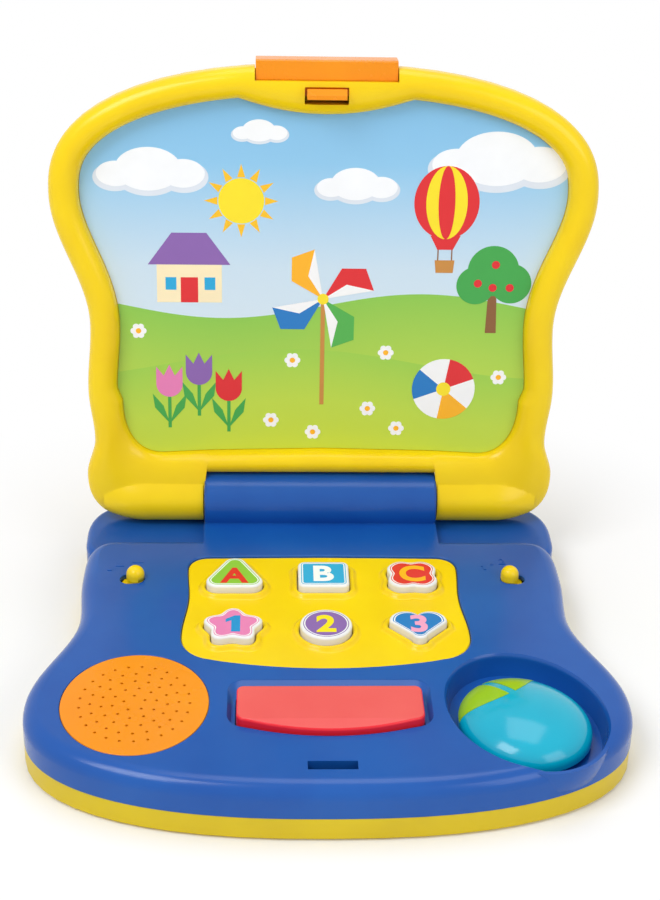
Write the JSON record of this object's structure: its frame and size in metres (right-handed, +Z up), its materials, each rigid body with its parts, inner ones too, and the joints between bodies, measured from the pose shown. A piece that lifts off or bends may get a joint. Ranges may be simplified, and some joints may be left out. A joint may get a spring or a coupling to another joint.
{
  "type": "toy laptop computer",
  "caption": "Toy laptop with a curvy two-shell base, a fold-down picture lid with a push latch, shaped keys, a wide bar, a domed mouse in a well, a speaker grille and lever switches.",
  "frame": {"origin": "middle of the tray's flat underside, which is the face it rests on", "axes": "+Z up, -Y towards the child, +X to the right as the child sees it; the hinge axis is parallel to X at the rear"},
  "size_m": [0.25, 0.247, 0.2411],
  "materials": {
    "blue_shell": "moulded, glossy",
    "yellow_shell": "moulded, glossy",
    "white_cap": "moulded, glossy, with a printed sign",
    "red_cap": "moulded, satin",
    "cyan_shell": "moulded, glossy",
    "lime_pad": "moulded, satin",
    "orange_part": "moulded, glossy",
    "picture": "printed card under a clear film",
    "steel": "zinc plated",
    "board": "solder mask",
    "dome_rubber": "silicone",
    "driver": "paper cone and steel basket",
    "clamp": "pressed",
    "switch_black": "moulded",
    "cell": "jacketed steel",
    "contact": "nickel plated",
    "wire_red": "PVC insulation",
    "wire_black": "PVC insulation"
  },
  "bodies": {
    "base": {"base_top": "blue_shell", "base_bottom": "yellow_shell", "hinge_barrel": "blue_shell", "keypad_plate": "yellow_shell", "speaker_grille": "orange_part", "hinge_pin_left": "steel", "hinge_pin_right": "steel", "circuit_board": "board", "dome_a": "dome_rubber", "dome_b": "dome_rubber", "dome_c": "dome_rubber", "dome_1": "dome_rubber", "dome_2": "dome_rubber", "dome_3": "dome_rubber", "bar_domes": "dome_rubber", "mouse_dome": "dome_rubber", "speaker_driver": "driver", "speaker_clamp": "clamp", "left_switch_body": "switch_black", "right_switch_body": "switch_black", "batteries": "cell", "battery_contacts": "contact", "battery_door": "yellow_shell", "door_screw": "steel", "case_screws": "steel", "barrel_screws": "steel", "board_screws": "steel", "speaker_wires": "wire_red", "battery_wires": "wire_black", "chip_cover": "switch_black", "mouse_board": "board"},
    "lid": {"lid_frame": "yellow_shell", "lid_back": "yellow_shell", "picture_card": "picture", "lid_screws": "steel", "latch_springs": "steel"},
    "latch": {"latch_slider": "orange_part"},
    "key_a": {"key_a": "white_cap"},
    "key_b": {"key_b": "white_cap"},
    "key_c": {"key_c": "white_cap"},
    "key_1": {"key_1": "white_cap"},
    "key_2": {"key_2": "white_cap"},
    "key_3": {"key_3": "white_cap"},
    "bar": {"space_bar": "red_cap"},
    "mouse": {"mouse_shell": "cyan_shell", "mouse_pads": "lime_pad", "mouse_foot": "cyan_shell"},
    "switch_left": {"switch_left": "yellow_shell"},
    "switch_right": {"switch_right": "yellow_shell"}
  },
  "joints": [
    {"name": "lid_hinge", "type": "hinge", "parent": "base", "child": "lid", "pos_m": [0, 0.097, 0.0325], "axis": [1, 0, 0], "range_deg": [0, 97.5]},
    {"name": "latch_slide", "type": "slide", "parent": "lid", "child": "latch", "axis": [0, -0.1305, -0.9914], "range_m": [0, 0.0028], "stiffness_N_per_m": 500, "springref_m": -0.004, "deforming": ["latch_springs"]},
    {"name": "key_a_press", "type": "slide", "parent": "base", "child": "key_a", "axis": [0, 0, -1], "range_m": [0, 0.0022], "stiffness_N_per_m": 500, "springref_m": -0.001, "deforming": ["dome_a"]},
    {"name": "key_b_press", "type": "slide", "parent": "base", "child": "key_b", "axis": [0, 0, -1], "range_m": [0, 0.0022], "stiffness_N_per_m": 500, "springref_m": -0.001, "deforming": ["dome_b"]},
    {"name": "key_c_press", "type": "slide", "parent": "base", "child": "key_c", "axis": [0, 0, -1], "range_m": [0, 0.0022], "stiffness_N_per_m": 500, "springref_m": -0.001, "deforming": ["dome_c"]},
    {"name": "key_1_press", "type": "slide", "parent": "base", "child": "key_1", "axis": [0, 0, -1], "range_m": [0, 0.0022], "stiffness_N_per_m": 500, "springref_m": -0.001, "deforming": ["dome_1"]},
    {"name": "key_2_press", "type": "slide", "parent": "base", "child": "key_2", "axis": [0, 0, -1], "range_m": [0, 0.0022], "stiffness_N_per_m": 500, "springref_m": -0.001, "deforming": ["dome_2"]},
    {"name": "key_3_press", "type": "slide", "parent": "base", "child": "key_3", "axis": [0, 0, -1], "range_m": [0, 0.0022], "stiffness_N_per_m": 500, "springref_m": -0.001, "deforming": ["dome_3"]},
    {"name": "bar_press", "type": "slide", "parent": "base", "child": "bar", "axis": [0, 0, -1], "range_m": [0, 0.0022], "stiffness_N_per_m": 800, "springref_m": -0.001, "deforming": ["bar_domes"]},
    {"name": "mouse_press", "type": "slide", "parent": "base", "child": "mouse", "axis": [0, 0, -1], "range_m": [0, 0.0022], "stiffness_N_per_m": 800, "springref_m": -0.001, "deforming": ["mouse_dome"]},
    {"name": "switch_left_turn", "type": "hinge", "parent": "base", "child": "switch_left", "pos_m": [-0.0853, 0.022, 0.0226], "axis": [0, 0, 1], "range_deg": [0, 12]},
    {"name": "switch_right_turn", "type": "hinge", "parent": "base", "child": "switch_right", "pos_m": [0.0853, 0.022, 0.0226], "axis": [0, 0, 1], "range_deg": [-12, 0]}
  ]
}
